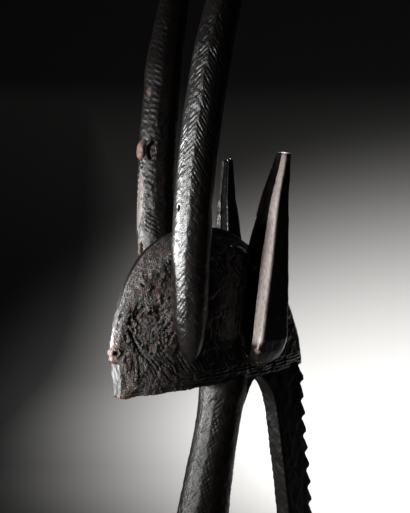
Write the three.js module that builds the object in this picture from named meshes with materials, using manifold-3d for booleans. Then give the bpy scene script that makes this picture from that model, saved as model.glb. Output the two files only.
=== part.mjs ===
// A chiwara headdress: an antelope crest carved from one block of wood, standing on its own low base.
// Millimetres, +Z up. The animal faces -Y, and the origin is the centre of the base's underside.
import * as THREE from "three";
import { mergeVertices } from "three/addons/utils/BufferGeometryUtils.js";
import Module from "manifold-3d";

const wasm = await Module();
wasm.setup();

const WOOD = { color: 0x1c1512, roughness: 0.55, metalness: 0 };

// The head is half a disc, thin as a lens seen from above, with a thin rim and a flat underside.
const HEAD = {
  underside: 376,
  height: 124,
  crown: -36,
  noseReach: 91.2,
  nosePower: 2.6,
  napeReach: 110,
  napePower: 1.74,
  halfThickness: 16,
  thickestAt: -30,
  noseHalfThickness: 3.8,
  napeHalfThickness: 5,
  rimHalfThickness: 3,
  rimBevel: 15,
  rimBevelSteps: 3,
  undersideChamfer: 6,
  undersideInset: 2,
  arcSteps: 16,
  planSteps: 14,
};
// Below the nose the jaw steps back, then slopes to the underside.
const JAW = { top: 403, front: -121.8, bottomFront: -120.6 };
// Small holes through the chin and the nape, each at a distance back and a height.
const TIE_HOLES = { radius: 1.6, length: 60, sides: 10, places: [[-122.4, 409], [66, 383]] };

// The horns lean apart and sweep back evenly from their lower, rounded ends on the sides of the head.
const HORN = {
  lowerEnd: 397.5,
  fullWidthAt: 460,
  tip: 900,
  radius: 15,
  taperFrom: 630,
  tipRadius: 3.4,
  endBlunt: 0.02,
  spreadAt: 506,
  spread: 23.2,
  lean: 0.055,
  straightAt: 479,
  front: -68.5,
  sweepRadius: 775,
  endShare: 0.22,
  sides: 18,
  steps: 28,
};
// A knot stands out on the front of one horn, and a deep nick is cut in the front of the other.
const KNOT = { centre: [-27, -77, 561], radii: [7.5, 4.5, 9.5] };
const NICK = { centre: [26.8, -83, 515], radii: [3.2, 3.6, 3.6] };

// Each ear is a tapering gutter, open to the front. A station gives the corners of its section as [x, y]:
// the rims of the inner and outer walls in front, and the two corners of its back.
const EAR = {
  stations: [
    { z: 387, innerRim: [15, -6], outerRim: [33, -8.5], outerBack: [33, 16], innerBack: [9, 18] },
    { z: 410, innerRim: [13, -7], outerRim: [38.8, -8], outerBack: [40, 21.5], innerBack: [8, 22] },
    { z: 475, innerRim: [11.5, -1], outerRim: [38.6, 4.6], outerBack: [39.6, 22], innerBack: [12, 21.5] },
    { z: 501, innerRim: [16.6, 3.4], outerRim: [38.6, 8.2], outerBack: [38.6, 22.2], innerBack: [18.6, 22] },
    { z: 521, innerRim: [20.4, 6.2], outerRim: [39.6, 9.8], outerBack: [37.8, 22.4], innerBack: [24, 22] },
    { z: 566, innerRim: [30, 16.6], outerRim: [39.4, 17.8], outerBack: [38.4, 24], innerBack: [34.4, 24.6] },
  ],
  frontPower: 7,
  outerBackPower: 5,
  innerBackPower: 2.8,
  lipRise: 15,
  lipFloor: 9,
  lipBlunt: 0.12,
  sides: 24,
  steps: 12,
};
// The trough between the rims, in shares of the section's half width and half depth from its middle.
const TROUGH = { middle: -0.3, halfWidth: 0.48, mouth: 1.06, depth: 1.25, sides: 14, steps: 10 };
const EAR_TIPS = { near: 558.5, far: 555.5, slant: 0.16 };
// Anything that is cut away is cut with a block at least this large.
const CUT = 60;

// The neck is round, leaves the underside of the head and slopes forward to the chest.
const NECK = [
  { z: 390, y: -8.5, radius: 14 },
  { z: 369, y: -16.3, radius: 19 },
  { z: 352, y: -20.2, radius: 18.3 },
  { z: 319, y: -27.4, radius: 18.4 },
  { z: 271, y: -38.1, radius: 20.8 },
  { z: 225, y: -46.5, radius: 22.6 },
  { z: 175, y: -51, radius: 24.5 },
  { z: 114, y: -48, radius: 19 },
];

// The mane is a flat bar whose rear edge is cut in saw teeth. Each place is a distance back and a height.
const MANE = {
  halfThickness: 8,
  edgeRound: 1.6,
  rear: [
    [68.6, 379],
    [70.4, 364],
    [71.6, 345],
    [76.4, 300],
    [82.8, 242.6],
    [86.5, 195],
    [84, 150],
    [74, 112],
  ],
  toothPitch: 15.5,
  firstTooth: 376.6,
  lastTooth: 136,
  toothDepth: 4.6,
  toothStep: 2.6,
  rearSteps: 120,
  gapSteps: 14,
};
// The gap between neck and mane is a tall pointed arch. Its front edge lies inside the round neck.
const GAP = {
  apex: [16.5, 374.6],
  rear: [
    [24, 369.5],
    [30.8, 361],
    [36.8, 345],
    [44.8, 300],
    [53.2, 242.6],
    [57, 195],
    [52, 152],
    [38, 124],
  ],
  front: [
    [-18, 124],
    [-36, 152],
    [-38, 190],
    [-30, 240],
    [-20, 290],
    [-9, 335],
    [1, 356],
    [8.6, 369.5],
  ],
};

// The body is short, on four bent legs. Its stations run from the chest to the rump.
const BODY = [
  { y: -80, z: 121, halfWidth: 4, halfHeight: 6 },
  { y: -76, z: 120, halfWidth: 13, halfHeight: 17 },
  { y: -65, z: 117, halfWidth: 20, halfHeight: 27 },
  { y: -45, z: 113, halfWidth: 23, halfHeight: 30 },
  { y: -12, z: 108, halfWidth: 20.5, halfHeight: 23 },
  { y: 20, z: 108, halfWidth: 19.5, halfHeight: 21.5 },
  { y: 48, z: 110, halfWidth: 22, halfHeight: 25 },
  { y: 68, z: 113, halfWidth: 20, halfHeight: 23 },
  { y: 82, z: 116, halfWidth: 12, halfHeight: 14 },
  { y: 87, z: 117, halfWidth: 4, halfHeight: 5 },
];
const BODY_POWER = 2.3;
const FORELEG = [
  { x: 9, y: -47, z: 117, radius: 9 },
  { x: 15.5, y: -52, z: 98, radius: 13.4 },
  { x: 19, y: -59, z: 80, radius: 11.6 },
  { x: 21, y: -63, z: 65, radius: 8.8 },
  { x: 22.6, y: -57, z: 47, radius: 7.2 },
  { x: 23.4, y: -54, z: 35, radius: 7.4 },
  { x: 24, y: -57, z: 20, radius: 10.4 },
];
const HINDLEG = [
  { x: 8, y: 62, z: 119, radius: 10 },
  { x: 14.5, y: 57, z: 101, radius: 16 },
  { x: 18.5, y: 51, z: 84, radius: 13.6 },
  { x: 20.6, y: 49, z: 71, radius: 10.6 },
  { x: 22.4, y: 59, z: 56, radius: 7.8 },
  { x: 23.2, y: 66, z: 46, radius: 7.6 },
  { x: 23.6, y: 62, z: 33, radius: 7.4 },
  { x: 24, y: 57, z: 20, radius: 10.4 },
];
const TAIL = [
  { y: 78, z: 122, radius: 6.4 },
  { y: 90, z: 121, radius: 5.6 },
  { y: 96, z: 110, radius: 4.8 },
  { y: 96.5, z: 94, radius: 4 },
  { y: 94, z: 80, radius: 2.6 },
];
// How finely the round limbs are divided.
const THICK = { sides: 20, steps: 16 };
const MIDDLING = { sides: 12, steps: 10 };
const THIN = { sides: 10, steps: 6 };

const BASE = {
  front: -110,
  rear: 110,
  halfWidth: 44,
  height: 24,
  corner: 16,
  cornerSteps: 5,
  edgeRound: 4,
  edgeSteps: 2,
};

// A closed geometry as a solid that can be joined and cut.
function solidOf(geometry) {
  const bare = geometry.clone();
  bare.deleteAttribute("normal");
  bare.deleteAttribute("uv");
  const merged = mergeVertices(bare, 1e-4);
  return new wasm.Manifold(
    new wasm.Mesh({
      numProp: 3,
      vertProperties: merged.attributes.position.array,
      triVerts: new Uint32Array(merged.index.array),
    }),
  );
}

// A solid's surface as a geometry with flat faces.
function geometryOf(solid) {
  const mesh = solid.getMesh();
  const geometry = new THREE.BufferGeometry();
  geometry.setAttribute("position", new THREE.BufferAttribute(mesh.vertProperties, 3));
  geometry.setIndex(new THREE.BufferAttribute(mesh.triVerts, 1));
  const flat = geometry.toNonIndexed();
  flat.computeVertexNormals();
  return flat;
}

// Turns an outline drawn as (y, z) and extruded along its normal so that its thickness runs along X.
function standUp(geometry) {
  const basis = new THREE.Matrix4().makeBasis(
    new THREE.Vector3(0, 1, 0),
    new THREE.Vector3(0, 0, 1),
    new THREE.Vector3(1, 0, 0),
  );
  return geometry.applyMatrix4(basis);
}

// The value of one field of a list of stations, as a smooth curve read at share t of its length.
function between(stations, field, t) {
  const place = THREE.MathUtils.clamp(t, 0, 1) * (stations.length - 1);
  const i = Math.min(Math.floor(place), stations.length - 2);
  const at = (k) => stations[THREE.MathUtils.clamp(k, 0, stations.length - 1)][field] ?? 0;
  const curve = new THREE.SplineCurve([i - 1, i, i + 1, i + 2].map((k) => new THREE.Vector2(k, at(k))));
  return curve.getPoint((1 + place - i) / 3).y;
}

// A point on the unit circle, moved out to a squarer ring: a power of 2 leaves it, a higher one squares it.
function squared(across, forward, power) {
  const spread = Math.abs(across) ** power + Math.abs(forward) ** power;
  const reach = spread > 0 ? spread ** (-1 / power) : 0;
  return [across * reach, forward * reach];
}

// A closed rod. Place(t, across, forward) gives the point of its section at share t of its length that lies
// so far across and forward on a unit circle. It describes the side at +X, and a side of -1 mirrors it.
function rod(sides, steps, place, side = 1) {
  const geometry = new THREE.CylinderGeometry(1, 1, 1, sides, steps);
  const position = geometry.attributes.position;
  for (let i = 0; i < position.count; i++) {
    const t = THREE.MathUtils.clamp(position.getY(i) + 0.5, 0, 1);
    const point = place(t, side * position.getX(i), position.getZ(i));
    position.setXYZ(i, side * point.x, point.y, point.z);
  }
  return solidOf(geometry);
}

// A rod square to its own middle line, with the half width, half depth and corner power of section(t).
function rodAlong(sides, steps, section, side = 1) {
  const small = 1e-3; // The share of its length over which its direction is measured.
  const place = (t, u, v) => {
    const { centre, halfWidth, halfDepth, power = 2 } = section(t);
    const along = section(Math.min(t + small, 1)).centre.clone();
    along.sub(section(Math.max(t - small, 0)).centre).normalize();
    const second = new THREE.Vector3(1, 0, 0).cross(along).normalize();
    const first = along.clone().cross(second);
    const [across, forward] = squared(u, v, power);
    const point = centre.clone().addScaledVector(first, across * halfWidth);
    return point.addScaledVector(second, forward * halfDepth);
  };
  return rod(sides, steps, place, side);
}

// A round rod through a list of places, each with a radius.
function roundRod(places, { sides, steps }, side = 1) {
  const section = (t) => {
    const [x, y, z, radius] = ["x", "y", "z", "radius"].map((field) => between(places, field, t));
    return { centre: new THREE.Vector3(x, y, z), halfWidth: radius, halfDepth: radius };
  };
  return rodAlong(sides, steps, section, side);
}

// An egg-shaped lump.
function lump({ centre, radii, sides = 12, rings = 8 }) {
  const geometry = new THREE.SphereGeometry(1, sides, rings);
  geometry.scale(...radii).translate(...centre);
  return solidOf(geometry);
}

// The head's half thickness at distance y along it, which thins to the nose and to the nape.
function headHalfThickness(y) {
  const forward = y < HEAD.thickestAt;
  const end = forward ? HEAD.crown - HEAD.noseReach : HEAD.crown + HEAD.napeReach;
  const thin = forward ? HEAD.noseHalfThickness : HEAD.napeHalfThickness;
  const share = (y - HEAD.thickestAt) / (end - HEAD.thickestAt);
  return HEAD.halfThickness - (HEAD.halfThickness - thin) * share * share;
}

// The half disc seen from the side, carried on below the underside, where the lens cuts it.
function headProfile() {
  const points = [];
  const quarter = (reach, power, from, to) => {
    for (let k = from; k !== to; k += Math.sign(to - from)) {
      const angle = (k / HEAD.arcSteps) * (Math.PI / 2);
      const y = HEAD.crown + reach * Math.pow(Math.cos(angle), 2 / power);
      points.push(new THREE.Vector2(y, HEAD.underside + HEAD.height * Math.pow(Math.sin(angle), 2 / power)));
    }
  };
  const below = HEAD.underside - 2 * HEAD.rimBevel;
  points.push(new THREE.Vector2(HEAD.crown + HEAD.napeReach, below));
  quarter(HEAD.napeReach, HEAD.napePower, 0, HEAD.arcSteps);
  quarter(-HEAD.noseReach, HEAD.nosePower, HEAD.arcSteps, 0);
  points.push(new THREE.Vector2(HEAD.crown - HEAD.noseReach, HEAD.underside));
  points.push(new THREE.Vector2(HEAD.crown - HEAD.noseReach, below));
  return new THREE.Shape(points);
}

// The lens seen from above.
function headPlan() {
  const front = HEAD.crown - HEAD.noseReach - 1;
  const rear = HEAD.crown + HEAD.napeReach + 1;
  const count = HEAD.planSteps;
  const ys = Array.from({ length: count + 1 }, (_, k) => front + ((rear - front) * k) / count);
  const side = ys.map((y) => new THREE.Vector2(headHalfThickness(y), y));
  const other = [...ys].reverse().map((y) => new THREE.Vector2(-headHalfThickness(y), y));
  return new THREE.Shape([...side, ...other]);
}

function head() {
  const swell = HEAD.halfThickness - HEAD.rimHalfThickness;
  const disc = new THREE.ExtrudeGeometry(headProfile(), {
    depth: 2 * HEAD.rimHalfThickness,
    bevelThickness: swell,
    bevelSize: HEAD.rimBevel,
    bevelOffset: -HEAD.rimBevel,
    bevelSegments: HEAD.rimBevelSteps,
  });
  disc.translate(0, 0, -HEAD.rimHalfThickness);
  const lens = new THREE.ExtrudeGeometry(headPlan(), {
    depth: HEAD.height,
    bevelThickness: HEAD.undersideChamfer,
    bevelSize: HEAD.undersideInset,
    bevelOffset: -HEAD.undersideInset,
    bevelSegments: 1,
  });
  lens.translate(0, 0, HEAD.underside + HEAD.undersideChamfer);
  let solid = solidOf(standUp(disc)).intersect(solidOf(lens)).subtract(jawCut());
  const { radius, length, sides, places } = TIE_HOLES;
  for (const [y, z] of places) {
    const drill = new THREE.CylinderGeometry(radius, radius, length, sides);
    drill.rotateZ(Math.PI / 2).translate(0, y, z);
    solid = solid.subtract(solidOf(drill));
  }
  return solid;
}

// What is cut away in front of the jaw.
function jawCut() {
  const slope = (JAW.bottomFront - JAW.front) / (JAW.top - HEAD.underside);
  const jaw = new THREE.Shape([
    new THREE.Vector2(JAW.front - CUT, JAW.top),
    new THREE.Vector2(JAW.front - CUT, HEAD.underside - CUT),
    new THREE.Vector2(JAW.bottomFront + slope * CUT, HEAD.underside - CUT),
    new THREE.Vector2(JAW.front, JAW.top),
  ]);
  const block = new THREE.ExtrudeGeometry(jaw, { depth: CUT, bevelEnabled: false });
  return solidOf(standUp(block.translate(0, 0, -CUT / 2)));
}

function horn(side) {
  const endLength = HORN.fullWidthAt - HORN.lowerEnd;
  const section = (t) => {
    const inEnd = t < HORN.endShare;
    const z = inEnd
      ? HORN.fullWidthAt - endLength * Math.cos((t / HORN.endShare) * (Math.PI / 2))
      : THREE.MathUtils.mapLinear(t, HORN.endShare, 1, HORN.fullWidthAt, HORN.tip);
    const drop = inEnd ? (HORN.fullWidthAt - z) / endLength : 0;
    const taper = Math.max(0, (z - HORN.taperFrom) / (HORN.tip - HORN.taperFrom));
    const full = THREE.MathUtils.lerp(HORN.radius, HORN.tipRadius, taper);
    const radius = full * Math.sqrt(Math.max(HORN.endBlunt, 1 - drop * drop));
    const x = HORN.spread + HORN.lean * (z - HORN.spreadAt);
    const y = HORN.front + Math.pow(z - HORN.straightAt, 2) / (2 * HORN.sweepRadius);
    return { centre: new THREE.Vector3(x, y, z), halfWidth: radius, halfDepth: radius };
  };
  return rodAlong(HORN.sides, HORN.steps, section, side);
}

// The point of an ear's section at height z that lies so far across and forward between its four corners.
function earPoint(z, across, forward) {
  const stations = EAR.stations;
  const above = Math.max(1, stations.findIndex((station) => station.z >= z));
  const [a, b] = [stations[above - 1], stations[above]];
  const t = (z - a.z) / (b.z - a.z);
  const corner = (name) => new THREE.Vector2(...a[name]).lerp(new THREE.Vector2(...b[name]), t);
  const front = corner("innerRim").lerp(corner("outerRim"), (1 + across) / 2);
  const point = corner("innerBack").lerp(corner("outerBack"), (1 + across) / 2).lerp(front, (1 + forward) / 2);
  return new THREE.Vector3(point.x, point.y, z);
}

// How much of its full size an ear or its trough has at a height above its rounded lower end.
function lipShare(rise) {
  const drop = Math.max(0, 1 - rise / EAR.lipRise);
  return Math.sqrt(Math.max(EAR.lipBlunt, 1 - drop * drop));
}

function ear(side, tip) {
  const bottom = EAR.stations[0].z;
  const floor = bottom + EAR.lipFloor;
  const top = end(EAR.stations).z;
  const shell = (t, u, v) => {
    const z = THREE.MathUtils.lerp(bottom, top, t);
    const back = u > 0 ? EAR.outerBackPower : EAR.innerBackPower;
    const [across, forward] = squared(u, v, v > 0 ? EAR.frontPower : back);
    return earPoint(z, across * lipShare(z - bottom), forward * lipShare(z - bottom));
  };
  const trough = (t, u, v) => {
    const z = THREE.MathUtils.lerp(floor, top, t);
    const across = TROUGH.middle + u * TROUGH.halfWidth * lipShare(z - floor);
    return earPoint(z, across, TROUGH.mouth + v * TROUGH.depth);
  };
  const cutter = new THREE.BoxGeometry(CUT, CUT, CUT);
  cutter.rotateY(side * EAR_TIPS.slant).translate(side * end(EAR.stations).outerRim[0], 0, tip + CUT / 2);
  const hollow = rod(TROUGH.sides, TROUGH.steps, trough, side);
  return rod(EAR.sides, EAR.steps, shell, side).subtract(hollow).subtract(solidOf(cutter));
}

// The rear edge of the mane: a smooth bow with saw teeth that slope outwards going down.
function maneRear() {
  const samples = outline(MANE.rear).getPoints(MANE.rearSteps);
  const at = (z) => {
    const k = samples.findIndex((p) => p.y <= z);
    const a = samples[Math.max(0, k - 1)];
    const b = samples[k];
    return THREE.MathUtils.mapLinear(z, a.y, b.y, a.x, b.x);
  };
  const [top, topZ] = MANE.rear[0];
  const points = [new THREE.Vector2(top - MANE.toothDepth, topZ)];
  for (let z = MANE.firstTooth; z > MANE.lastTooth; z -= MANE.toothPitch) {
    const tip = z - MANE.toothPitch + MANE.toothStep;
    points.push(new THREE.Vector2(at(z) - MANE.toothDepth, z));
    points.push(new THREE.Vector2(at(tip), tip));
  }
  const [y, z] = end(MANE.rear);
  points.push(new THREE.Vector2(y - MANE.toothDepth, z));
  return points;
}

function mane() {
  const shape = new THREE.Shape(maneRear());
  const rise = [...NECK].reverse();
  shape.lineTo(rise[0].y, end(MANE.rear)[1]);
  for (const place of rise.slice(1)) shape.lineTo(place.y, place.z);
  const rear = outline([GAP.apex, ...GAP.rear]).getPoints(MANE.gapSteps);
  const front = outline([...GAP.front, GAP.apex]).getPoints(MANE.gapSteps).slice(0, -1);
  shape.holes.push(new THREE.Path([...rear, ...front].reverse()));
  const plate = new THREE.ExtrudeGeometry(shape, {
    depth: 2 * (MANE.halfThickness - MANE.edgeRound),
    bevelThickness: MANE.edgeRound,
    bevelSize: MANE.edgeRound,
    bevelOffset: -MANE.edgeRound,
    bevelSegments: 1,
  });
  plate.translate(0, 0, -(MANE.halfThickness - MANE.edgeRound));
  return solidOf(standUp(plate));
}

// A smooth curve through places given as [y, z].
function outline(places) {
  return new THREE.SplineCurve(places.map(([y, z]) => new THREE.Vector2(y, z)));
}

function end(list) {
  return list[list.length - 1];
}

function body() {
  const section = (t) => ({
    centre: new THREE.Vector3(0, between(BODY, "y", t), between(BODY, "z", t)),
    halfWidth: between(BODY, "halfWidth", t),
    halfDepth: between(BODY, "halfHeight", t),
    power: BODY_POWER,
  });
  return rodAlong(THICK.sides, THICK.steps, section);
}

function base() {
  const { halfWidth: w, corner: c, front: f, rear: r } = BASE;
  const plan = new THREE.Shape();
  plan.moveTo(-w + c, f);
  plan.lineTo(w - c, f);
  plan.absarc(w - c, f + c, c, -Math.PI / 2, 0);
  plan.absarc(w - c, r - c, c, 0, Math.PI / 2);
  plan.absarc(-w + c, r - c, c, Math.PI / 2, Math.PI);
  plan.absarc(-w + c, f + c, c, Math.PI, (3 * Math.PI) / 2);
  const slab = new THREE.ExtrudeGeometry(plan, {
    depth: BASE.height - 2 * BASE.edgeRound,
    bevelThickness: BASE.edgeRound,
    bevelSize: BASE.edgeRound,
    bevelOffset: -BASE.edgeRound,
    bevelSegments: BASE.edgeSteps,
    curveSegments: BASE.cornerSteps,
  });
  slab.translate(0, 0, BASE.edgeRound);
  return solidOf(slab);
}

function headdress() {
  const forms = [roundRod(NECK, THICK), mane(), body(), roundRod(TAIL, THIN), base()];
  for (const side of [1, -1]) {
    forms.push(horn(side));
    forms.push(ear(side, side > 0 ? EAR_TIPS.near : EAR_TIPS.far));
    forms.push(roundRod(FORELEG, MIDDLING, side));
    forms.push(roundRod(HINDLEG, MIDDLING, side));
  }
  forms.push(lump(KNOT));
  const whole = forms.reduce((sum, form) => sum.add(form), head());
  return whole.subtract(lump(NICK));
}

const wood = new THREE.MeshStandardMaterial(WOOD);
const crest = new THREE.Mesh(geometryOf(headdress()), wood);
crest.name = "headdress";

const part = new THREE.Group();
part.add(crest);

export default part;
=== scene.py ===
"""The looks of a chiwara headdress, an antelope crest carved from one block of wood.

The carving is made of four meshes: the head with its ears, each horn, and all that is under the head.
The forms of each are shaped one by one, joined, cut with the carver's marks and the damage of age, and
thinned. The carving's places and sizes are millimetres in the object's own frame: +Z is up, the animal
faces -Y and +X is its left. Only the finished meshes, the lamps and the backdrop are in metres.
"""

import logging
import math
from dataclasses import dataclass
from enum import Enum
from itertools import product
from typing import Any, Sequence

import bmesh
import bpy
import numpy as np
from bmesh.types import BMesh, BMVert
from mathutils import Matrix, Vector


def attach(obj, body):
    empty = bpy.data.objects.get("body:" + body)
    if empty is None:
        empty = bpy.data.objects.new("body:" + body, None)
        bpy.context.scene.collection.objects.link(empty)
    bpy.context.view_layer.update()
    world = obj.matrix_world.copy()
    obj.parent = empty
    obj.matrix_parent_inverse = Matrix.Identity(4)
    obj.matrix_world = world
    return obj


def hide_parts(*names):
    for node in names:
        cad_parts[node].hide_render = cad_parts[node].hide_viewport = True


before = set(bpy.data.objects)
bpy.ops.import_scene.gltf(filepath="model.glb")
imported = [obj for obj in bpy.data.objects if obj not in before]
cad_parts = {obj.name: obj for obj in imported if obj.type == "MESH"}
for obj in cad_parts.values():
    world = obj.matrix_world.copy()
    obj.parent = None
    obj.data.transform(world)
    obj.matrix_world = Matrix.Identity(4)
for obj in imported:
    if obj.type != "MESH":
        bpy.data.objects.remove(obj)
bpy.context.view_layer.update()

LOG = logging.getLogger("chiwara")
MM = 0.001

Array = np.ndarray
Place = tuple[float, float, float]
Point = tuple[float, float]
Range = tuple[float, float]
Socket = bpy.types.NodeSocket
Tree = bpy.types.NodeTree
Source = Socket | bpy.types.Node

LEFTWARD = np.array([1.0, 0.0, 0.0])


class Side(Enum):
    """The two sides of the animal."""

    LEFT = 1
    RIGHT = -1

    def mirrored(self, places: Array) -> Array:
        """Moves places from this side of the animal to its left side, or back."""
        return places * np.array([self.value, 1, 1])


def linear(code: str) -> tuple[float, float, float, float]:
    """Turns an sRGB hex colour into linear RGBA.

    Args:
        code: The colour as "#rrggbb".

    Returns:
        The four linear channels, with an alpha of 1.
    """
    shares = [int(code[i : i + 2], 16) / 255 for i in (1, 3, 5)]
    return (*(s / 12.92 if s <= 0.04045 else ((s + 0.055) / 1.055) ** 2.4 for s in shares), 1.0)


def smoothstep(low: float, high: float, value: Array) -> Array:
    """Rises smoothly from 0 at low to 1 at high, or falls when low is the larger."""
    share = np.clip((value - low) / (high - low), 0, 1)
    return share * share * (3 - 2 * share)


def within(value: Array, bottom: float, low: float, high: float, top: float) -> Array:
    """Is 1 from low to high and falls smoothly to 0 at the bottom and the top."""
    return smoothstep(bottom, low, value) * smoothstep(top, high, value)


def hashed(cells: Array, seed: int) -> Array:
    """Gives each row of whole numbers its own number from 0 to 1.

    Args:
        cells: Whole numbers, one row for each value wanted.
        seed: Chooses one set of values.

    Returns:
        One number for each row.
    """
    word, primes = 0xFFFFFFFF, (73856093, 19349663, 83492791)
    stirred = np.full(len(cells), seed * 2654435761 & word, np.int64)
    for column, prime in zip(cells.T, primes):
        stirred = (stirred ^ (column * prime)) & word
    for shift, factor in ((15, 0x2C1B3C6D), (12, 0x297A2D39)):
        stirred = ((stirred ^ (stirred >> shift)) * factor) & word
    return (stirred ^ (stirred >> 15)) / word


def noise(places: Array, cell: float, seed: int) -> Array:
    """Smooth noise from -1 to 1 whose lumps are about a cell across.

    Args:
        places: Rows of two or three coordinates.
        cell: The size of a lump, in the units of places.
        seed: Chooses one pattern.

    Returns:
        One value for each place.
    """
    grid = places / cell
    corner = np.floor(grid).astype(np.int64)
    share = smoothstep(0, 1, grid - corner)
    total = np.zeros(len(places))
    for step in product((0, 1), repeat=places.shape[1]):
        weight = np.prod(np.where(step, share, 1 - share), axis=1)
        total += weight * hashed(corner + np.array(step), seed)
    return 2 * total - 1


def noises(places: Array, rows: Sequence[tuple[float, float, int]]) -> Array:
    """Adds up noises, each of a height, a cell and a seed."""
    return sum(height * noise(places, cell, seed) for height, cell, seed in rows)


def pebbles(places: Array, cell: float, seed: int) -> tuple[Array, Array]:
    """Scatters one point in each cell and measures how close each place is to them.

    Args:
        places: Rows of two or three coordinates.
        cell: The size of a cell, in the units of places.
        seed: Chooses one pattern.

    Returns:
        The distance to the nearest point in cells, and a number from 0 to 1 that belongs to that point.
    """
    grid = places / cell
    corner = np.floor(grid).astype(np.int64)
    nearest = np.full(len(places), 9.0)
    name = np.zeros(len(places))
    for step in product((-1, 0, 1), repeat=places.shape[1]):
        home = corner + np.array(step)
        point = home + np.stack([hashed(home, seed + k) for k in range(places.shape[1])], 1)
        reach = np.sqrt(((grid - point) ** 2).sum(1))
        closer = reach < nearest
        nearest = np.where(closer, reach, nearest)
        name = np.where(closer, hashed(home, seed + 7), name)
    return nearest, name


def through(stations: Array, share: Array) -> Array:
    """Reads a smooth curve through rows of numbers.

    Args:
        stations: The rows that the curve passes through.
        share: How far along the curve to read, from 0 to 1.

    Returns:
        One row for each share.
    """
    at = np.clip(share, 0, 1) * (len(stations) - 1)
    first = np.minimum(at.astype(int), len(stations) - 2)
    f = (at - first)[:, None]
    a, b, c, d = (stations[np.clip(first + k, 0, len(stations) - 1)] for k in (-1, 0, 1, 2))
    return 0.5 * (2 * b + (c - a) * f + (2 * a - 5 * b + 4 * c - d) * f**2 + (3 * b - a - 3 * c + d) * f**3)


def squared(across: Array, forward: Array, power: Array | float) -> tuple[Array, Array]:
    """Moves points of the unit circle out to a squarer ring.

    Args:
        across: The first coordinate of each point.
        forward: The second coordinate of each point.
        power: 2 leaves the circle, and more squares it.

    Returns:
        Both coordinates of the moved points.
    """
    spread = np.abs(across) ** power + np.abs(forward) ** power
    reach = np.where(spread > 0, np.maximum(spread, 1e-9) ** (-1 / power), 0)
    return across * reach, forward * reach


@dataclass(frozen=True)
class Gouge:
    """Short leaf-shaped cuts in columns that lean left and right in turn, as in a herringbone.

    Its numbers are the width of a column, the distance from one cut to the next, how steeply the cuts run
    as rise over width, the seed of their depths, and how many columns side by side lean the same way.
    """

    column: float
    pitch: float
    slope: float
    seed: int
    alike: int = 1

    def cut(self, along: Array, across: Array) -> Array:
        """The depth of the cuts, from 0 to 1, at distances along the columns and across them.

        Args:
            along: Distances along the columns.
            across: Distances across them.

        Returns:
            One depth for each place.
        """
        number = np.floor(across / self.column).astype(np.int64)
        share = across / self.column - number
        lean = np.where((number // self.alike) % 2 == 0, 1.0, -1.0)
        start = hashed(np.stack([number, number], 1), self.seed + 1)
        rise = along / self.pitch + lean * self.slope * (share - 0.5) * self.column / self.pitch + start
        cut = np.floor(rise).astype(np.int64)
        names = np.stack([number, cut], 1)
        reach = 0.85 + 0.5 * hashed(names, self.seed + 2)
        middle = 0.5 + 0.3 * (hashed(names, self.seed + 3) - 0.5)
        length = np.clip(1 - ((share - middle) * 2 / reach) ** 2, 0, 1)
        width = np.clip(1 - ((rise - cut - 0.5) * 2) ** 2, 0, 1)
        return width * length * (0.3 + 0.7 * hashed(names, self.seed + 4))


def flakes(places: Array, size: float, seed: int) -> Array:
    """Low plates with crisp ragged edges, as where a crust has come off, from 0 to 1."""
    ragged = noise(places, size, seed) + 0.35 * noise(places, size * 0.35, seed + 1)
    return smoothstep(-0.06, 0.1, ragged)


@dataclass(frozen=True)
class Lines:
    """Lines cut at an even pitch, each with its own depth."""

    pitch: float
    width: float
    seed: int

    def cut(self, value: Array) -> Array:
        """The depth of the lines that lie square to the growth of a value, from 0 to 1.

        Args:
            value: What grows from line to line, in millimetres.

        Returns:
            One depth for each value.
        """
        at = value / self.pitch
        number = np.floor(at).astype(np.int64)
        names = np.stack([number, number], 1)
        centre = 0.5 + 0.25 * (hashed(names, self.seed) - 0.5)
        depth = 0.35 + 0.65 * hashed(names, self.seed + 1)
        return depth * np.clip(1 - ((at - number - centre) * self.pitch * 2 / self.width) ** 2, 0, 1)


def to_segment(places: Array, start: Place, finish: Place) -> Array:
    """The distance of each place from the straight line between two others.

    Args:
        places: Places in millimetres, in rows.
        start: One end of the line.
        finish: Its other end.

    Returns:
        One distance for each place.
    """
    a, b = np.array(start), np.array(finish)
    run = b - a
    share = np.clip((places - a) @ run / (run @ run), 0, 1)
    return np.linalg.norm(places - a - share[:, None] * run, axis=1)


@dataclass(frozen=True)
class Spot:
    """An egg-shaped region of the surface: a dent, a boss or a patch of another colour."""

    centre: Place
    radii: Place
    amount: float = 1.0
    ragged: float = 0.35
    inner: float = 0.45

    def cover(self, places: Array) -> Array:
        """How far inside the spot each place is, from 0 outside to the amount within its inner share.

        Args:
            places: Places in millimetres, in rows.

        Returns:
            One value for each place.
        """
        reach = np.linalg.norm((places - np.array(self.centre)) / np.array(self.radii), axis=1)
        near = reach < 1.1 + self.ragged
        wander = self.ragged * noise(places[near], min(self.radii) * 0.7 + 0.6, 11)
        cover = np.zeros(len(places))
        cover[near] = self.amount * smoothstep(1.0, self.inner, reach[near] + wander)
        return cover


@dataclass(frozen=True)
class Cut:
    """A crack or an incised line from one place to another."""

    start: Place
    finish: Place
    width: float
    depth: float
    wander: float = 0.8

    def cover(self, places: Array) -> Array:
        """The depth of the cut at each place.

        Args:
            places: Places in millimetres, in rows.

        Returns:
            One depth for each place.
        """
        near = to_segment(places, self.start, self.finish) < self.width + 2 * self.wander
        close = places[near]
        drift = np.stack([noise(close, 7.0, 21 + k) for k in range(3)], 1) * self.wander
        reach = to_segment(close + drift, self.start, self.finish)
        cover = np.zeros(len(places))
        cover[near] = self.depth * smoothstep(1.0, 0.0, reach / self.width)
        return cover


def chain(places: Sequence[Place], width: float, depth: float, wander: float) -> list[Cut]:
    """Cuts that follow one another from place to place."""
    return [Cut(start, finish, width, depth, wander) for start, finish in zip(places, places[1:])]


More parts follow.
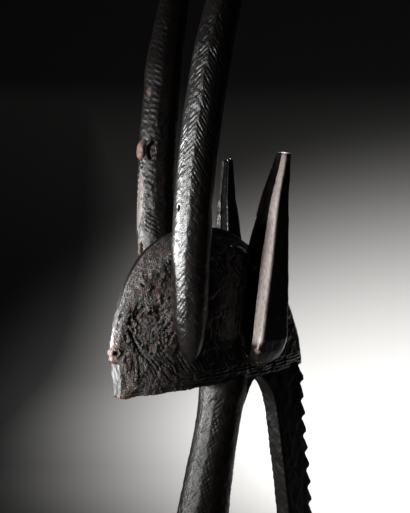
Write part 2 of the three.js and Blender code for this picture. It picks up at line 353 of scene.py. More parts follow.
def meshed(name: str, block: BMesh) -> bpy.types.Mesh:
    """Turns a block into a mesh, and frees it.

    Args:
        name: The name of the mesh.
        block: The block.

    Returns:
        The mesh.
    """
    mesh = bpy.data.meshes.new(name)
    block.to_mesh(mesh)
    block.free()
    return mesh


def in_scene(name: str, data: bpy.types.ID) -> bpy.types.Object:
    """Adds an object to the scene.

    Args:
        name: The name of the object.
        data: Its mesh, light or camera.

    Returns:
        The object.
    """
    made = bpy.data.objects.new(name, data)
    bpy.context.scene.collection.objects.link(made)
    return made


def rod(block: BMesh, sides: int, steps: int) -> tuple[list[BMVert], Array]:
    """Fills an empty mesh with a closed cylinder, divided along its length.

    Args:
        block: The empty mesh.
        sides: How many sides the cylinder has.
        steps: How many rings of faces it has.

    Returns:
        Its vertices, and for each its share of the length and its place on the unit circle.
    """
    bmesh.ops.create_cone(block, cap_ends=True, cap_tris=False, segments=sides, radius1=1, radius2=1, depth=1)
    uprights = [e for e in block.edges if abs(e.verts[0].co.z - e.verts[1].co.z) > 0.5]
    bmesh.ops.subdivide_edges(block, edges=uprights, cuts=steps - 1)
    verts = list(block.verts)
    co = np.array([v.co for v in verts])
    return verts, np.column_stack([np.clip(co[:, 2] + 0.5, 0, 1), co[:, 0], co[:, 1]])


def move(verts: Sequence[BMVert], places: Array) -> None:
    """Puts each vertex at its place."""
    for vert, place in zip(verts, places):
        vert.co = place


@dataclass(frozen=True)
class Rod:
    """A limb of changing size, whose sections stand square to its own middle line."""

    sides: int = 72
    steps: int = 120
    power: float = 2.0
    side: Side = Side.LEFT

    def section(self, share: Array) -> Array:
        """The middle line and the half width and half depth of the section, one row for each share."""
        raise NotImplementedError

    def build(self, block: BMesh) -> None:
        """Adds the limb to a mesh."""
        verts, ring = rod(block, self.sides, self.steps)
        move(verts, self.places(*ring.T))

    def places(self, share: Array, u: Array, v: Array) -> Array:
        """The places of the points that lie at u and v on the unit circle of each section.

        Args:
            share: How far along the limb each point is, from 0 to 1.
            u: Its first place on the unit circle.
            v: Its second place there.

        Returns:
            One place for each point.
        """
        rows = self.section(share)
        small = 1e-3
        along = self.section(np.minimum(share + small, 1)) - self.section(np.maximum(share - small, 0))
        along = along[:, :3] / np.linalg.norm(along[:, :3], axis=1)[:, None]
        second = np.cross(LEFTWARD, along)
        second /= np.linalg.norm(second, axis=1)[:, None]
        first = np.cross(along, second)
        across, forward = squared(u, v, self.power)
        across, forward = across * rows[:, 3], forward * rows[:, 4]
        return self.side.mirrored(rows[:, :3] + first * across[:, None] + second * forward[:, None])

    def around(self, places: Array) -> tuple[Array, Array, Array]:
        """Measures places against a limb that rises from one end to the other.

        Args:
            places: Places in the object's frame.

        Returns:
            The distance along the limb, the angle around it from the animal's outer side towards its
            front, and how far outside its surface each place is.
        """
        own = self.side.mirrored(places)
        rows = self.section(np.linspace(0, 1, 500))
        rows = rows[np.argsort(rows[:, 2])]
        steps = np.linalg.norm(np.diff(rows[:, :3], axis=0), axis=1)
        length = np.concatenate([[0], np.cumsum(steps)])
        run = np.gradient(rows[:, :3], length + np.arange(len(length)) * 1e-9, axis=0)
        at = np.interp(own[:, 2], rows[:, 2], length)

        def here(table: Array) -> Array:
            """Reads three columns of a table where each place is along the limb."""
            return np.column_stack([np.interp(at, length, table[:, k]) for k in range(3)])

        for _ in range(3):
            along = here(run)
            at = np.clip(at + ((own - here(rows)) * along).sum(1), 0, length[-1])
        radius = np.interp(at, length, rows[:, 3])
        out = own - here(rows)
        height = (out * np.cross(LEFTWARD, along)).sum(1)
        return at, np.arctan2(height, out[:, 0]), np.linalg.norm(out, axis=1) - radius


@dataclass(frozen=True)
class Limb(Rod):
    """A round limb through stations of x, y, z and radius."""

    stations: tuple[tuple[float, ...], ...] = ()

    def section(self, share: Array) -> Array:
        """The middle line and radius at each share of the length."""
        rows = through(np.array(self.stations, float), share)
        return np.column_stack([rows, rows[:, 3]])


@dataclass(frozen=True)
class Horn(Rod):
    """A long horn that stands on the side of the head, leans outwards and sweeps back.

    Its surface is a herringbone of short gouge cuts, worn smooth where hands and cords have rubbed it.
    """

    steps: int = 260
    lower_end: float = 397.5
    full_width_at: float = 460
    tip: float = 900
    radius: float = 15
    taper_from: float = 630
    tip_radius: float = 3.4
    end_blunt: float = 0.02
    spread_at: float = 506
    spread: float = 23.2
    lean: float = 0.055
    straight_at: float = 479
    front: float = -68.5
    sweep_radius: float = 775
    end_share: float = 0.22
    columns: int = 12
    alike: int = 3
    turn: float = -13.5
    pitch: float = 3.9
    slope: float = 1.15
    cut_depth: float = 0.75
    rubbed: float = 0.4
    rubbed_up_to: Range = (500, 560)
    surface: Range = (3.2, 1.6)

    def section(self, share: Array) -> Array:
        """The middle line and radius at each share of the length.

        Args:
            share: How far along the horn to read, from 0 to 1.

        Returns:
            Rows of x, y, z, half width and half depth.
        """
        end_length = self.full_width_at - self.lower_end
        in_end = self.full_width_at - end_length * np.cos(np.minimum(share / self.end_share, 1) * math.pi / 2)
        beyond = np.maximum(share - self.end_share, 0) / (1 - self.end_share)
        z = in_end + beyond * (self.tip - self.full_width_at)
        drop = np.maximum(0, (self.full_width_at - z) / end_length)
        taper = np.maximum(0, (z - self.taper_from) / (self.tip - self.taper_from))
        full = self.radius + (self.tip_radius - self.radius) * taper
        radius = full * np.sqrt(np.maximum(self.end_blunt, 1 - drop * drop))
        x = self.spread + self.lean * (z - self.spread_at)
        y = self.front + (z - self.straight_at) ** 2 / (2 * self.sweep_radius)
        return np.column_stack([x, y, z, radius, radius])

    def relief(self, places: Array) -> Array:
        """The height of the gouge cuts above the plain horn.

        Args:
            places: Places in millimetres, in rows.

        Returns:
            One height for each place.
        """
        at, around, off = self.around(places)
        around = around * self.radius
        mine = smoothstep(*self.surface, np.abs(off)) * (np.sign(places[:, 0]) == self.side.value)
        gouge = Gouge(2 * math.pi * self.radius / self.columns, self.pitch, self.slope, 5, self.alike)
        at = at + 1.6 * noise(places, 14, 31)
        across = around + self.turn + 1.2 * noise(places, 22, 32)
        cuts = gouge.cut(at, across)
        worn = 0.45 + 0.55 * smoothstep(0.5, -0.3, noise(places, 26, 33 + self.side.value))
        rubbed = self.rubbed + (1 - self.rubbed) * smoothstep(*self.rubbed_up_to, places[:, 2])
        return mine * (0.4 * noise(places, 19, 34) - self.cut_depth * cuts * worn * rubbed)


@dataclass(frozen=True)
class Ear:
    """A tapering gutter, open to the front, with a rounded lip below and a blunt broken tip."""

    side: Side
    tip: float
    forward: float = 0
    forward_below: Range = (570, 500)
    stations: tuple[tuple[float, ...], ...] = (
        (387, 15, -6, 33, -8.5, 33, 16, 9, 18),
        (410, 13, -7, 38.8, -8, 40, 21.5, 8, 22),
        (475, 11.5, -1, 38.6, 4.6, 39.6, 22, 12, 21.5),
        (501, 16.6, 3.4, 38.6, 8.2, 38.6, 22.2, 18.6, 22),
        (521, 20.4, 6.2, 39.6, 9.8, 37.8, 22.4, 24, 22),
        (566, 30, 16.6, 39.4, 17.8, 38.4, 24, 34.4, 24.6),
    )
    front_power: float = 11
    outer_back_power: float = 5
    inner_back_power: float = 2.8
    lip_rise: float = 15
    lip_floor: float = 9
    lip_blunt: float = 0.12
    trough_middle: float = -0.3
    trough_half_width: float = 0.48
    trough_mouth: float = 1.06
    trough_depth: float = 1.25
    tip_slant: float = 0.16
    rim_middle: float = 0.6
    rim_above: Range = (405, 412)
    rim_ahead: tuple[float, float, float, float] = (-3.5, -1.5, 0.8, 3.2)
    rim_half_width: Range = (8.5, 5.5)
    sides: int = 180
    steps: int = 150

    def lip_share(self, rise: Array) -> Array:
        """How much of its full size the ear or its trough has at a height above its lower end."""
        drop = np.maximum(0, 1 - rise / self.lip_rise)
        return np.sqrt(np.maximum(self.lip_blunt, 1 - drop * drop))

    def place(self, z: Array, across: Array, forward: Array) -> Array:
        """The places that lie so far across and forward between the four corners of each section.

        Args:
            z: Heights above the floor.
            across: -1 at the inner wall to 1 at the outer one.
            forward: -1 at the back to 1 at the rims.

        Returns:
            One place for each height, on the left side.
        """
        table = np.array(self.stations)
        corner = [np.interp(z, table[:, 0], table[:, k]) for k in range(1, 9)]
        ahead = self.forward * smoothstep(*self.forward_below, z)
        corner[1], corner[3] = corner[1] - ahead, corner[3] - ahead
        pairs = (np.column_stack(corner[k : k + 2]) for k in (0, 2, 4, 6))
        inner_rim, outer_rim, outer_back, inner_back = pairs
        a, f = ((1 + across) / 2)[:, None], ((1 + forward) / 2)[:, None]
        rims = inner_rim * (1 - a) + outer_rim * a
        backs = inner_back * (1 - a) + outer_back * a
        return np.column_stack([backs * (1 - f) + rims * f, z])

    def build(self, block: BMesh) -> None:
        """Adds the ear to a mesh, with its trough, cut off at its tip.

        Args:
            block: The mesh to add to.
        """
        verts, ring = rod(block, self.sides, self.steps)
        share, u, v = ring.T
        bottom, top = self.stations[0][0], self.stations[-1][0]
        z = bottom + (top - bottom) * share
        back = np.where(u > 0, self.outer_back_power, self.inner_back_power)
        across, forward = squared(u, v, np.where(v > 0, self.front_power, back))
        size = self.lip_share(z - bottom)
        across, forward = across * size, forward * size
        half = self.trough_half_width * self.lip_share(z - bottom - self.lip_floor)
        reach = np.clip(1 - ((across - self.trough_middle) / half) ** 2, 0, 1)
        floor = self.trough_mouth - self.trough_depth * np.sqrt(reach)
        hollow = (z > bottom + self.lip_floor) & (reach > 0)
        forward = np.where(hollow, np.minimum(forward, floor), forward)
        move(verts, self.side.mirrored(self.place(z, across, forward)))
        self.cut_tip(block, verts)

    def cut_tip(self, block: BMesh, verts: Sequence[BMVert]) -> None:
        """Cuts the top off on a slant and closes it.

        Args:
            block: The mesh that holds the ear.
            verts: The ear's vertices.
        """
        rim_x = self.stations[-1][3] * self.side.value
        upward = Vector((self.side.value * math.sin(self.tip_slant), 0, math.cos(self.tip_slant)))
        parts = {g for v in verts for g in (v, *v.link_edges, *v.link_faces)}
        plane = {"plane_co": (rim_x, 0, self.tip), "plane_no": upward}
        cut = bmesh.ops.bisect_plane(block, geom=list(parts), clear_outer=True, **plane)
        edges = [g for g in cut["geom_cut"] if isinstance(g, bmesh.types.BMEdge)]
        bmesh.ops.triangle_fill(block, use_beauty=True, edges=edges)

    def rim(self, places: Array) -> Array:
        """Where the smooth front face of the thick outer wall is, from 0 to 1.

        Args:
            places: Places in millimetres, in rows.

        Returns:
            One value for each place.
        """
        own = self.side.mirrored(places)
        face = self.place(own[:, 2], np.full(len(own), self.rim_middle), np.ones(len(own)))
        ahead = within(own[:, 1] - face[:, 1], *self.rim_ahead)
        inside = smoothstep(*self.rim_half_width, np.abs(own[:, 0] - face[:, 0]))
        return ahead * inside * smoothstep(*self.rim_above, own[:, 2])


@dataclass(frozen=True)
class Head:
    """A half disc, thin as a lens seen from above, with a narrow muzzle, a thin rim and a flat underside."""

    underside: float = 376
    height: float = 124
    crown: float = -36
    nose_reach: float = 91.2
    nose_power: float = 2.6
    nape_reach: float = 110
    nape_power: float = 1.74
    half_thickness: float = 16
    thickest_at: float = -30
    nose_half_thickness: float = 3.8
    nape_half_thickness: float = 5
    rim_half_thickness: float = 1.9
    rim_bevel: float = 15
    chamfer: float = 6
    chamfer_inset: float = 2
    jaw_top: float = 403
    jaw_front: float = -121.8
    jaw_bottom_front: float = -120.6
    arc_steps: int = 300
    rings: int = 110

    def reach(self, angle: Array) -> Array:
        """The distance from the middle of the underside to the rim at an angle that rises from the nape.

        Args:
            angle: Angles in radians, 0 at the nape and pi at the nose.

        Returns:
            One distance for each angle.
        """
        ahead = np.cos(angle) < 0
        a = np.where(ahead, self.nose_reach, self.nape_reach)
        p = np.where(ahead, self.nose_power, self.nape_power)
        return ((np.abs(np.cos(angle)) / a) ** p + (np.abs(np.sin(angle)) / self.height) ** p) ** (-1 / p)

    def to_rim(self, y: Array, z: Array) -> Array:
        """How far inside the rim a place on the side of the head is."""
        back, up = y - self.crown, np.maximum(z - self.underside, 0)
        return self.reach(np.arctan2(up, back)) - np.hypot(back, up)

    def half_at(self, y: Array, z: Array) -> Array:
        """The head's half thickness at a place on its side.

        Args:
            y: How far back each place is.
            z: How high it is.

        Returns:
            One half thickness for each place.
        """
        ahead = y < self.thickest_at
        end = np.where(ahead, self.crown - self.nose_reach, self.crown + self.nape_reach)
        thin = np.where(ahead, self.nose_half_thickness, self.nape_half_thickness)
        share = (y - self.thickest_at) / (end - self.thickest_at)
        lens = self.half_thickness - (self.half_thickness - thin) * share**2
        depth = np.clip(self.to_rim(y, z) / self.rim_bevel, 0, 1)
        rim = self.rim_half_thickness + (self.half_thickness - self.rim_half_thickness) * depth
        inset = self.chamfer_inset * np.clip(1 - (z - self.underside) / self.chamfer, 0, 1)
        return np.minimum(lens - inset, rim)

    def build(self, block: BMesh) -> None:
        """Adds the head to a mesh: one side as a fan of rings, its mirror image, and the rim between them.

        Args:
            block: The mesh to add to.
        """
        made = bmesh.ops.create_grid(block, x_segments=self.arc_steps, y_segments=self.rings, size=1)
        verts = made["verts"]
        co = np.array([v.co for v in verts])
        angle, share = (co[:, 0] + 1) / 2 * math.pi, (co[:, 1] + 1) / 2
        reach = self.reach(angle) * share
        y, z = self.crown + reach * np.cos(angle), self.underside + reach * np.sin(angle)
        slope = (self.jaw_bottom_front - self.jaw_front) / (self.jaw_top - self.underside)
        jaw = self.jaw_front + slope * (self.jaw_top - z)
        y = np.where(z < self.jaw_top, np.maximum(y, jaw), y)
        move(verts, np.column_stack([self.half_at(y, z), y, z]))
        faces = {f for v in verts for f in v.link_faces}
        edges = {e for f in faces for e in f.edges}
        bmesh.ops.mirror(block, geom=[*verts, *edges, *faces], merge_dist=-1, axis="X")
        bmesh.ops.remove_doubles(block, verts=block.verts, dist=1e-4)
        bmesh.ops.bridge_loops(block, edges=[e for e in block.edges if e.is_boundary])


@dataclass(frozen=True)
class Mane:
    """A flat bar from the nape to the rump, with saw teeth behind and the tall pointed gap in front of it."""

    half_thickness: float = 8
    rear: tuple[Point, ...] = (
        *((68.6, 379), (70.4, 364), (71.6, 345), (76.4, 300)),
        *((82.8, 242.6), (86.5, 195), (84, 150), (74, 112)),
    )
    apex: Point = (16.5, 374.6)
    gap_rear: tuple[Point, ...] = (
        *((24, 369.5), (30.8, 361), (36.8, 345), (44.8, 300)),
        *((53.2, 242.6), (57, 195), (52, 152), (38, 124)),
    )
    gap_front: tuple[Point, ...] = (
        *((-18, 124), (-36, 152), (-38, 190), (-30, 240)),
        *((-20, 290), (-9, 335), (1, 356), (8.6, 369.5)),
    )
    front: tuple[Point, ...] = ((-48, 112), (-51, 175), (-38, 271), (-20, 352), (-9, 388))
    tooth_pitch: float = 15.5
    first_tooth: float = 376.6
    last_tooth: float = 136
    tooth_depth: float = 4.6
    tooth_step: float = 2.6
    tooth_blunt: float = 2.5
    tooth_proud: float = 0.2
    curve_steps: int = 40

    def rear_edge(self) -> list[Point]:
        """The rear edge: a smooth bow with saw teeth that slope outwards going down.

        Returns:
            Points of y and z, from the top down.
        """
        bow = through(np.array(self.rear), np.linspace(0, 1, 200))[::-1]

        def edge(z: float, outward: float = 0) -> Point:
            """A point of the bow, moved outward."""
            return float(np.interp(z, bow[:, 1], bow[:, 0])) + outward, z

        (top_y, top_z), (low_y, low_z) = self.rear[0], self.rear[-1]
        points = [(top_y - self.tooth_depth, top_z)]
        z = self.first_tooth
        while z > self.last_tooth:
            tip = z - self.tooth_pitch + self.tooth_step
            points += [edge(z, -self.tooth_depth), edge(tip + self.tooth_blunt), edge(tip, self.tooth_proud)]
            z -= self.tooth_pitch
        return [*points, (low_y - self.tooth_depth, low_z)]

    def build(self, block: BMesh) -> None:
        """Adds the bar to a mesh: its outline, filled around the gap, then pulled to its thickness.

        Args:
            block: The mesh to add to.
        """
        rear = through(np.array([self.apex, *self.gap_rear]), np.linspace(0, 1, self.curve_steps))
        front = through(np.array([*self.gap_front, self.apex]), np.linspace(0, 1, self.curve_steps))[:-1]
        edges = []
        for outline in ([*self.rear_edge(), *self.front], [*map(tuple, rear), *map(tuple, front)]):
            ring = [block.verts.new((-self.half_thickness, y, z)) for y, z in outline]
            edges += [block.edges.new(pair) for pair in zip(ring, [*ring[1:], ring[0]])]
        filled = bmesh.ops.triangle_fill(block, use_beauty=True, edges=edges)
        faces = [g for g in filled["geom"] if isinstance(g, bmesh.types.BMFace)]
        pulled = bmesh.ops.extrude_face_region(block, geom=faces, use_keep_orig=True)
        tops = [g for g in pulled["geom"] if isinstance(g, BMVert)]
        bmesh.ops.translate(block, verts=tops, vec=(2 * self.half_thickness, 0, 0))


@dataclass(frozen=True)
class Trunk(Rod):
    """The small body, from the chest to the rump."""

    power: float = 2.3
    stations: tuple[tuple[float, ...], ...] = (
        *((-80, 121, 4, 6), (-76, 120, 13, 17), (-65, 117, 20, 27), (-45, 113, 23, 30), (-12, 108, 20.5, 23)),
        *((20, 108, 19.5, 21.5), (48, 110, 22, 25), (68, 113, 20, 23), (82, 116, 12, 14), (87, 117, 4, 5)),
    )

    def section(self, share: Array) -> Array:
        """The middle line and the half width and half height at each share of the length."""
        rows = through(np.array(self.stations, float), share)
        return np.column_stack([np.zeros(len(rows)), rows])


@dataclass(frozen=True)
class Base:
    """The low slab under the feet."""

    front: float = -110
    rear: float = 110
    half_width: float = 44
    height: float = 24
    corner: float = 16
    corner_steps: int = 10
    edge_round: float = 4
    edge_steps: int = 4

    def build(self, block: BMesh) -> None:
        """Adds the slab to a mesh, with round corners and rounded edges.

        Args:
            block: The mesh to add to.
        """
        length = self.rear - self.front
        size = Matrix.Diagonal((2 * self.half_width, length, self.height, 1))
        place = Matrix.Translation((0, (self.front + self.rear) / 2, self.height / 2))
        verts = bmesh.ops.create_cube(block, size=1, matrix=place @ size)["verts"]
        edges = {e for v in verts for e in v.link_edges}
        uprights = [e for e in edges if abs(e.verts[0].co.z - e.verts[1].co.z) > 1]
        self.round_off(block, uprights, self.corner, self.corner_steps)
        level = [e for e in block.edges if e.verts[0].co.z == e.verts[1].co.z]
        self.round_off(block, level, self.edge_round, self.edge_steps)

    def round_off(self, block: BMesh, edges: Sequence[Any], radius: float, segments: int) -> None:
        """Rounds edges off."""
        rounding = {"offset": radius, "offset_type": "OFFSET", "segments": segments, "profile": 0.5}
        bmesh.ops.bevel(block, geom=list(edges), affect="EDGES", material=-1, **rounding)


NECK = Limb(
    stations=(
        *((0, -8.5, 390, 14), (0, -16.3, 369, 19), (0, -20.2, 352, 18.3), (0, -27.4, 319, 18.4)),
        *((0, -38.1, 271, 20.8), (0, -46.5, 225, 22.6), (0, -51, 175, 24.5), (0, -48, 114, 19)),
    )
)
FORELEG = (
    *((9, -47, 117, 9), (15.5, -52, 98, 13.4), (19, -59, 80, 11.6), (21, -63, 65, 8.8)),
    *((22.6, -57, 47, 7.2), (23.4, -54, 35, 7.4), (24, -57, 20, 10.4)),
)
HINDLEG = (
    *((8, 62, 119, 10), (14.5, 57, 101, 16), (18.5, 51, 84, 13.6), (20.6, 49, 71, 10.6)),
    *((22.4, 59, 56, 7.8), (23.2, 66, 46, 7.6), (23.6, 62, 33, 7.4), (24, 57, 20, 10.4)),
)
TAIL = ((0, 78, 122, 6.4), (0, 90, 121, 5.6), (0, 96, 110, 4.8), (0, 96.5, 94, 4), (0, 94, 80, 2.6))


def add(tree: Tree, kind: str, settings: dict[str | int, Any], *inputs: Source | float) -> bpy.types.Node:
    """Adds a node with its settings and links. A socket is linked, and a node by its first output.

    Args:
        tree: The node tree.
        kind: The type of node, without its "ShaderNode".
        settings: Values by the name of a property, or by the name or number of an input.
        inputs: Values of the first inputs in their order.

    Returns:
        The new node.
    """
    node = tree.nodes.new("ShaderNode" + kind)
    for name, value in (*settings.items(), *enumerate(inputs)):
        if isinstance(value, Source):
            tree.links.new(value if isinstance(value, Socket) else value.outputs[0], node.inputs[name])
        elif isinstance(name, str) and hasattr(node, name):
            setattr(node, name, value)
        else:
            node.inputs[name].default_value = value
    return node


# The hollow layer is painted shade: it darkens the colour where the relief is cut deep.
LAYERS = ("bare", "pale", "hollow", "crusted", "dusty")


@dataclass(frozen=True)
class Pattern:
    """What the looks of the wood are mixed from: places, noises, and the layers of the mesh."""

    tree: Tree
    in_mm: Source
    crumb: Source
    fibre: Source
    layer: dict[str, Source]


@dataclass(frozen=True)
class PatinatedWood:
    """Dense hardwood under a hand-rubbed crust of oil and soot: near black, satin, brown where it is worn.

    Its lumps and heights are millimetres, and its ranges are limits of the noises and layers.
    """

    name: str = "oiled_patina"
    crust: str = "#0c0a09"
    # Painted shade: the near black that deep cuts and pits are coloured.
    hollow: str = "#040303"
    worn: str = "#17110e"
    dusty: str = "#2c2927"
    # Painted glints: the light grey given to the raised tops of the dust's crumbs.
    tip: str = "#96918d"
    tint: str = "#5c382a"
    bare: str = "#574239"
    # Pale scraped wood; on the near ear's rim it is partly a painted highlight.
    pale: str = "#ab9f9b"
    roughness: float = 0.34
    rougher_crumb: float = 0.3
    rougher_bare: float = 0.15
    rougher_pale: float = 0.2
    specular: float = 0.5
    index: float = 1.5
    grain: float = 0.55
    granule: float = 1.3
    crumb: float = 1.0
    fibre: float = 0.7
    fibre_squash: float = 0.12
    blotch: float = 9.0
    worn_range: Range = (0.46, 0.72)
    painted_glint_range: Range = (0.4, 0.68)
    tint_range: Range = (0.52, 0.64)
    tint_most: float = 0.6
    scraped_range: Range = (0.42, 0.68)
    scraped_most: float = 0.65
    bare_range: Range = (0.35, 0.6)
    bare_ragged: float = 0.9
    # Where the painted shade of the hollows begins and where it is full.
    painted_hollow_shade_range: Range = (0.12, 0.6)
    granule_edge: float = 0.35
    granule_height: float = 0.5
    crumb_height: float = 1.6
    low_crumb_height: float = 0.2
    grain_height: float = 0.07
    fibre_height: float = 0.06
    bump: float = 0.9

    def material(self) -> bpy.types.Material:
        """Makes the material.

        Returns:
            The material.
        """
        made = bpy.data.materials.new(self.name)
        made.use_nodes = True
        tree = made.node_tree
        tree.nodes.clear()
        place = add(tree, "TexCoord", {}).outputs["Object"]
        in_mm = add(tree, "VectorMath", {"operation": "SCALE", "Scale": 1 / MM}, place)
        crumb = add(tree, "TexNoise", {"Scale": 1 / self.crumb, "Detail": 4}, in_mm)
        squashed = add(tree, "VectorMath", {"operation": "MULTIPLY", 1: (1, 1, self.fibre_squash)}, in_mm)
        fibre = add(tree, "TexNoise", {"Scale": 1 / self.fibre, "Detail": 2}, squashed)
        layer = {name: add(tree, "Attribute", {"attribute_name": name}).outputs["Fac"] for name in LAYERS}
        multiply_add = {"operation": "MULTIPLY_ADD"}
        ragged = add(tree, "Math", multiply_add, crumb, self.bare_ragged, -self.bare_ragged / 2)
        bare = add(tree, "Math", {"operation": "ADD"}, layer["bare"], ragged)
        layer["bare"] = add(tree, "MapRange", {}, bare, *self.bare_range)
        least = self.roughness - self.rougher_crumb / 2
        rough = add(tree, "Math", multiply_add, crumb, self.rougher_crumb, least)
        rough = add(tree, "Math", multiply_add, layer["bare"], self.rougher_bare, rough)
        rough = add(tree, "Math", multiply_add, layer["pale"], self.rougher_pale, rough)
        pattern = Pattern(tree, in_mm, crumb, fibre, layer)
        bump = add(tree, "Bump", {"Strength": self.bump, "Distance": MM, "Height": self.height(pattern)})
        gloss = {"IOR": self.index, "Specular IOR Level": self.specular, "Roughness": rough, "Normal": bump}
        shader = add(tree, "BsdfPrincipled", gloss, self.colour(pattern))
        add(tree, "OutputMaterial", {}, shader)
        return made

    def colour(self, pattern: Pattern) -> Socket:
        """The colour: crust, worn brown, grey dust with painted glints, pale scraped wood that is partly a
        painted highlight on the near ear, bare wood, and black painted shade in the hollows.

        Args:
            pattern: What the colour is mixed from.

        Returns:
            The output of the last mix.
        """
        tree, layer = pattern.tree, pattern.layer
        blotch = add(tree, "TexNoise", {"Scale": 1 / self.blotch, "Detail": 3}, pattern.in_mm)
        # Painted glints: the raised tops of the crumbs are coloured light grey.
        painted_glint = add(tree, "MapRange", {}, pattern.crumb, *self.painted_glint_range)
        scraped = add(tree, "MapRange", {"To Max": self.scraped_most}, pattern.fibre, *self.scraped_range)
        dust_with_painted_glints, pale = (
            add(tree, "Mix", {"data_type": "RGBA", 6: linear(low), 7: linear(high)}, share).outputs[2]
            for share, low, high in ((painted_glint, self.dusty, self.tip), (scraped, self.pale, self.bare))
        )
        tinted = add(tree, "MapRange", {"To Max": self.tint_most}, blotch, *self.tint_range)
        tinted = add(tree, "Math", {"operation": "MULTIPLY"}, tinted, layer["dusty"])
        hollow = add(tree, "MapRange", {}, layer["hollow"], *self.painted_hollow_shade_range)
        colour = linear(self.crust)
        for share, over in (
            (add(tree, "MapRange", {}, blotch, *self.worn_range), linear(self.worn)),
            (layer["dusty"], dust_with_painted_glints),
            (tinted, linear(self.tint)),
            # Pale wood, partly a painted highlight on the near ear's rim.
            (layer["pale"], pale),
            (layer["bare"], linear(self.bare)),
            # Painted shade in the hollows.
            (hollow, linear(self.hollow)),
        ):
            colour = add(tree, "Mix", {"data_type": "RGBA", 6: colour, 7: over}, share).outputs[2]
        return colour

    def height(self, pattern: Pattern) -> Source:
        """The fine relief: coarse granules where it is dusty, and a low grain where it is crusted.

        Args:
            pattern: What the relief is mixed from.

        Returns:
            The node that gives the height in millimetres.
        """
        tree, crumb, layer = pattern.tree, pattern.crumb, pattern.layer
        multiply, multiply_add = {"operation": "MULTIPLY"}, {"operation": "MULTIPLY_ADD"}
        cells = {"feature": "DISTANCE_TO_EDGE", "Scale": 1 / self.granule}
        granule = add(tree, "TexVoronoi", cells, pattern.in_mm).outputs["Distance"]
        granule = add(tree, "MapRange", {}, granule, 0, self.granule_edge)
        coarse = add(tree, "Math", multiply, granule, self.granule_height)
        coarse = add(tree, "Math", multiply_add, crumb, self.crumb_height, coarse)
        coarse = add(tree, "Math", multiply, coarse, layer["dusty"])
        grain = add(tree, "TexNoise", {"Scale": 1 / self.grain, "Detail": 2}, pattern.in_mm)
        low = add(tree, "Math", multiply, crumb, self.low_crumb_height)
        low = add(tree, "Math", multiply_add, grain, self.grain_height, low)
        low = add(tree, "Math", multiply, low, layer["crusted"])
        height = add(tree, "Math", {"operation": "ADD"}, coarse, low)
        return add(tree, "Math", multiply_add, pattern.fibre, self.fibre_height, height)


@dataclass(frozen=True)
class Carved:
    """One part of the crest: forms joined into one closed skin, with the carver's marks and the wear."""

    name: str
    voxel: float = 0.7
    triangles: int = 196000
    dents: tuple[Spot, ...] = ()
    cuts: tuple[Cut, ...] = ()
    bare: tuple[Spot, ...] = ()
    finish: PatinatedWood = PatinatedWood()
    uneven: tuple[tuple[float, float, int], ...] = ((0.3, 26, 1), (0.15, 9, 2))
    grainy: tuple[tuple[float, float, int], ...] = ((0.22, 3.2, 3), (0.16, 1.9, 4))
    # The depth in millimetres that scales the painted shade of the hollows.
    painted_hollow_shade_depth: float = 4
    flat_foot: Range = (0.2, 1.5)
    softening: int = 3

    def forms(self) -> list[Any]:
        """The forms that the part is joined from."""
        raise NotImplementedError

    def relief(self, places: Array, normals: Array) -> Array:
        """How far the carver's marks stand above or below the plain forms."""
        raise NotImplementedError

    def layers(self, places: Array, normals: Array) -> dict[str, Array]:
        """Where the wood is pale and smooth, and where its crust is grey and coarse.

        Args:
            places: Places in millimetres, in rows.
            normals: Not used.

        Returns:
            One value for each place, by the name of its layer.
        """
        crusted = 0.45 + 0.55 * smoothstep(-0.5, 0.5, noise(places, 17, 6))
        none = np.zeros(len(places))
        return {"pale": none, "dusty": none, "crusted": crusted}

    def joined(self) -> bpy.types.Object:
        """Joins the forms into one closed skin.

        Returns:
            The object that carries the skin, in metres.
        """
        stock = bmesh.new()
        for form in self.forms():
            block = bmesh.new()
            form.build(block)
            bmesh.ops.recalc_face_normals(block, faces=block.faces)
            piece = meshed("form", block)
            stock.from_mesh(piece)
            bpy.data.meshes.remove(piece)
        bmesh.ops.scale(stock, vec=(MM, MM, MM), verts=stock.verts)
        skin = in_scene(self.name, meshed(self.name, stock))
        remesh = skin.modifiers.new("Join", "REMESH")
        remesh.mode = "VOXEL"
        remesh.voxel_size = self.voxel * MM
        smooth = skin.modifiers.new("Soften", "SMOOTH")
        smooth.factor, smooth.iterations = 0.5, self.softening
        settle(skin)
        return skin

    def build(self) -> bpy.types.Object:
        """Makes the finished mesh with its layers.

        Returns:
            The object that carries the mesh.
        """
        skin = self.joined()
        places, normals = read(skin.data)
        height = self.relief(places, normals)
        for mark in (*self.dents, *self.cuts):
            height -= mark.cover(places)
        layers = self.layers(places, normals)
        height += noises(places, self.uneven) + layers["crusted"] * noises(places, self.grainy)
        layers["bare"] = sum((spot.cover(places) for spot in self.bare), np.zeros(len(places)))
        # Painted shade: the deeper the relief, the darker the colour.
        layers["hollow"] = -height / self.painted_hollow_shade_depth
        for name, value in layers.items():
            layer = skin.data.attributes.new(name, "FLOAT", "POINT")
            layer.data.foreach_set("value", np.clip(value, 0, 2).astype(np.float32))
        height *= smoothstep(*self.flat_foot, places[:, 2])
        write(skin.data, places + normals * height[:, None])
        thin = skin.modifiers.new("Thin", "DECIMATE")
        thin.ratio = min(1, self.triangles / sum(len(p.vertices) - 2 for p in skin.data.polygons))
        settle(skin)
        skin.data.shade_smooth()
        skin.data.materials.append(bpy.data.materials.get(self.finish.name) or self.finish.material())
        LOG.info("%s: %d of %d places kept", self.name, len(skin.data.vertices), len(places))
        return skin


